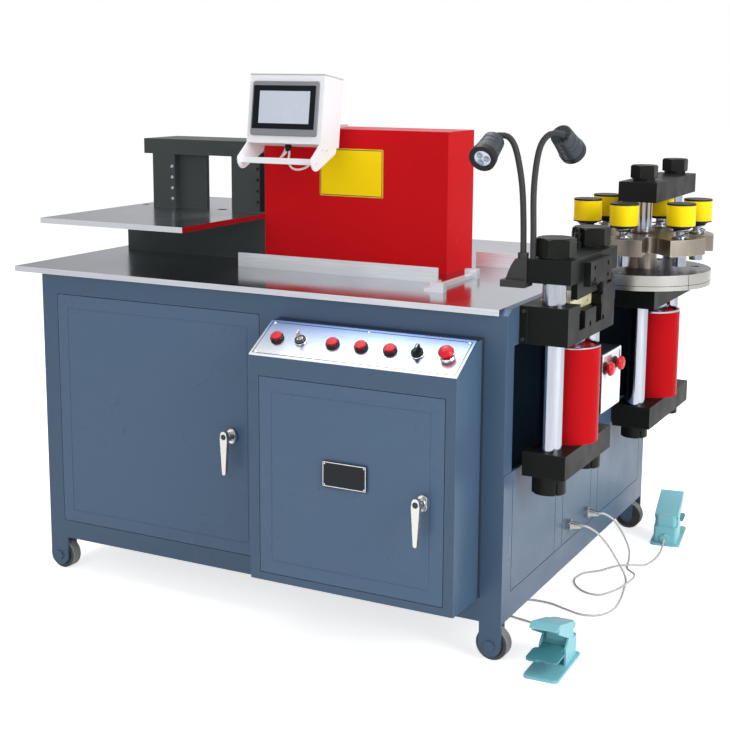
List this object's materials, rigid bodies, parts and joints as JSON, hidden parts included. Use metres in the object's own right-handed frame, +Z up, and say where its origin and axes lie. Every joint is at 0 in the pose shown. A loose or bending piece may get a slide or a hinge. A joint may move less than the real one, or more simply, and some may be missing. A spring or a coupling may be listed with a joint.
{
  "type": "busbar processing machine",
  "caption": "Hydraulic workshop machine that shears, punches and bends copper busbar, with a steel table on a wheeled cabinet, a punch turret and foot pedals.",
  "frame": {"origin": "centre of the machine's footprint on the floor, pedals included", "axes": "+X along the table's length towards the shear and punch units, +Y from the operator's side to the back, +Z up"},
  "size_m": [1.7465, 1.436, 1.418],
  "materials": {
    "cabinet_paint": "fine textured paint",
    "table_steel": "ground",
    "stainless": "brushed",
    "dark_paint": "satin paint",
    "red_paint": "gloss paint",
    "black_steel": "blackened",
    "chrome": "polished",
    "tool_steel": "ground",
    "plate_steel": "ground",
    "yellow_paint": "gloss paint",
    "spring_steel": "oiled",
    "red_plastic": "gloss",
    "black_plastic": "matte",
    "panel_white": "fine texture",
    "bracket_grey": "satin paint",
    "lamp_body": "anodised",
    "wheel_rubber": "moulded",
    "pedal_paint": "hammered paint",
    "gland_metal": "turned",
    "cable_sheath": "smooth"
  },
  "bodies": {
    "cabinet": {"cabinet_shell": "cabinet_paint", "work_table": "table_steel", "electrical_box": "cabinet_paint", "console_plate": "stainless", "cable_glands": "gland_metal", "bend_frame": "dark_paint", "bend_table": "table_steel", "bend_cylinder": "black_steel", "cylinder_cover": "red_paint", "fence_rails": "stainless", "shear_mid_block": "black_steel", "shear_lower_blade": "tool_steel", "shear_rod": "chrome", "punch_mid_block": "black_steel", "punch_rod": "chrome", "side_box": "stainless", "hmi_arm": "bracket_grey", "pedal_front": "pedal_paint", "pedal_rear": "pedal_paint", "cable_front": "cable_sheath", "cable_rear": "cable_sheath"},
    "shear_frame": {"shear_blocks": "black_steel", "shear_columns": "chrome", "shear_nuts": "black_steel", "shear_cylinder": "red_paint", "shear_upper_blade": "black_steel", "lamp_stand": "lamp_body", "lamp_heads": "lamp_body"},
    "punch_frame": {"punch_blocks": "black_steel", "punch_columns": "chrome", "punch_nuts": "black_steel", "punch_cylinder": "red_paint"},
    "turret": {"turret_plate": "plate_steel", "die_disc": "plate_steel", "idle_punches": "yellow_paint", "idle_springs": "spring_steel", "work_spring": "spring_steel"},
    "left_door": {"left_door": "cabinet_paint"},
    "left_door_handle": {"left_door_handle": "chrome"},
    "box_door": {"box_door": "cabinet_paint"},
    "box_door_handle": {"box_door_handle": "chrome"},
    "bend_ram": {"bend_ram": "chrome"},
    "stop_bar": {"stop_bar": "stainless"},
    "work_punch": {"work_punch": "yellow_paint"},
    "power_switch": {"power_switch": "red_plastic"},
    "button_1": {"button_1": "red_plastic"},
    "button_2": {"button_2": "red_plastic"},
    "button_3": {"button_3": "red_plastic"},
    "key_switch": {"key_switch": "chrome"},
    "selector": {"selector": "black_plastic"},
    "emergency_stop": {"emergency_stop": "red_plastic"},
    "side_button_1": {"side_button_1": "red_plastic"},
    "side_button_2": {"side_button_2": "red_plastic"},
    "hmi_head": {"hmi_head": "panel_white"},
    "wheel_front_left": {"wheel_front_left": "wheel_rubber"},
    "wheel_front_right": {"wheel_front_right": "wheel_rubber"},
    "wheel_rear_left": {"wheel_rear_left": "wheel_rubber"},
    "wheel_rear_right": {"wheel_rear_right": "wheel_rubber"},
    "treadle_front": {"treadle_front": "pedal_paint"},
    "treadle_rear": {"treadle_rear": "pedal_paint"}
  },
  "joints": [
    {"name": "left_door_hinge", "type": "hinge", "parent": "cabinet", "child": "left_door", "pos_m": [-0.718, -0.518, 0.481], "axis": [0, 0, -1], "range_deg": [0, 110]},
    {"name": "left_door_lever", "type": "hinge", "parent": "left_door", "child": "left_door_handle", "pos_m": [-0.152, -0.524, 0.477], "axis": [0, 1, 0], "range_deg": [0, 90]},
    {"name": "box_door_hinge", "type": "hinge", "parent": "cabinet", "child": "box_door", "pos_m": [0.0345, -0.665, 0.434], "axis": [0, 0, -1], "range_deg": [0, 100]},
    {"name": "box_door_lever", "type": "hinge", "parent": "box_door", "child": "box_door_handle", "pos_m": [0.4745, -0.671, 0.432], "axis": [0, 1, 0], "range_deg": [0, 90]},
    {"name": "power_switch_press", "type": "slide", "parent": "cabinet", "child": "power_switch", "axis": [0, 0.5077, -0.8615], "range_m": [0, 0.004], "stiffness_N_per_m": 300, "springref_m": -0.004},
    {"name": "button_1_press", "type": "slide", "parent": "cabinet", "child": "button_1", "axis": [0, 0.5077, -0.8615], "range_m": [0, 0.004], "stiffness_N_per_m": 300, "springref_m": -0.004},
    {"name": "button_2_press", "type": "slide", "parent": "cabinet", "child": "button_2", "axis": [0, 0.5077, -0.8615], "range_m": [0, 0.004], "stiffness_N_per_m": 300, "springref_m": -0.004},
    {"name": "button_3_press", "type": "slide", "parent": "cabinet", "child": "button_3", "axis": [0, 0.5077, -0.8615], "range_m": [0, 0.004], "stiffness_N_per_m": 300, "springref_m": -0.004},
    {"name": "emergency_stop_press", "type": "slide", "parent": "cabinet", "child": "emergency_stop", "axis": [0, 0.5077, -0.8615], "range_m": [0, 0.005]},
    {"name": "key_switch_turn", "type": "hinge", "parent": "cabinet", "child": "key_switch", "pos_m": [0.11, -0.615, 0.771], "axis": [0, -0.5077, 0.8615], "range_deg": [0, 90]},
    {"name": "selector_turn", "type": "hinge", "parent": "cabinet", "child": "selector", "pos_m": [0.428, -0.615, 0.771], "axis": [0, -0.5077, 0.8615], "range_deg": [0, 90]},
    {"name": "side_button_1_press", "type": "slide", "parent": "cabinet", "child": "side_button_1", "axis": [-1, 0, 0], "range_m": [0, 0.005], "stiffness_N_per_m": 300, "springref_m": -0.004},
    {"name": "side_button_2_press", "type": "slide", "parent": "cabinet", "child": "side_button_2", "axis": [-1, 0, 0], "range_m": [0, 0.005], "stiffness_N_per_m": 300, "springref_m": -0.004},
    {"name": "bend_press", "type": "slide", "parent": "cabinet", "child": "bend_ram", "axis": [-1, 0, 0], "range_m": [0, 0.045]},
    {"name": "stop_slide", "type": "slide", "parent": "cabinet", "child": "stop_bar", "axis": [1, 0, 0], "range_m": [0, 0.12]},
    {"name": "shear_press", "type": "slide", "parent": "cabinet", "child": "shear_frame", "axis": [0, 0, -1], "range_m": [-0.02, 0.03]},
    {"name": "punch_press", "type": "slide", "parent": "cabinet", "child": "punch_frame", "axis": [0, 0, -1], "range_m": [0, 0.02]},
    {"name": "turret_index", "type": "hinge", "parent": "cabinet", "child": "turret", "pos_m": [0.677, 0.341, 0.95], "axis": [0, 0, 1], "range_deg": [0, 360]},
    {"name": "work_punch_stroke", "type": "slide", "parent": "turret", "child": "work_punch", "axis": [0, 0, -1], "range_m": [0, 0.02], "deforming": ["work_spring"]},
    {"name": "hmi_tilt", "type": "hinge", "parent": "cabinet", "child": "hmi_head", "pos_m": [-0.1755, -0.099, 1.323], "axis": [1, 0, 0], "range_deg": [-10, 15]},
    {"name": "wheel_front_left_spin", "type": "hinge", "parent": "cabinet", "child": "wheel_front_left", "pos_m": [-0.754, -0.496, 0.042], "axis": [0, 1, 0], "continuous": true},
    {"name": "wheel_front_right_spin", "type": "hinge", "parent": "cabinet", "child": "wheel_front_right", "pos_m": [0.588, -0.496, 0.042], "axis": [0, 1, 0], "continuous": true},
    {"name": "wheel_rear_left_spin", "type": "hinge", "parent": "cabinet", "child": "wheel_rear_left", "pos_m": [-0.754, 0.628, 0.042], "axis": [0, 1, 0], "continuous": true},
    {"name": "wheel_rear_right_spin", "type": "hinge", "parent": "cabinet", "child": "wheel_rear_right", "pos_m": [0.588, 0.628, 0.042], "axis": [0, 1, 0], "continuous": true},
    {"name": "treadle_front_press", "type": "hinge", "parent": "cabinet", "child": "treadle_front", "pos_m": [0.73196, -0.45948, 0.044], "axis": [0.9994, 0.0349, 0], "range_deg": [0, 8], "stiffness_Nm_per_rad": 6, "springref_deg": -6.88},
    {"name": "treadle_rear_press", "type": "hinge", "parent": "cabinet", "child": "treadle_rear", "pos_m": [0.72788, 0.58231, 0.044], "axis": [-0.9903, -0.1392, 0], "range_deg": [0, 8], "stiffness_Nm_per_rad": 6, "springref_deg": -6.88}
  ],
  "couplings": [
    {"joint": "work_punch_stroke", "follows": "punch_press", "ratio": 1}
  ]
}
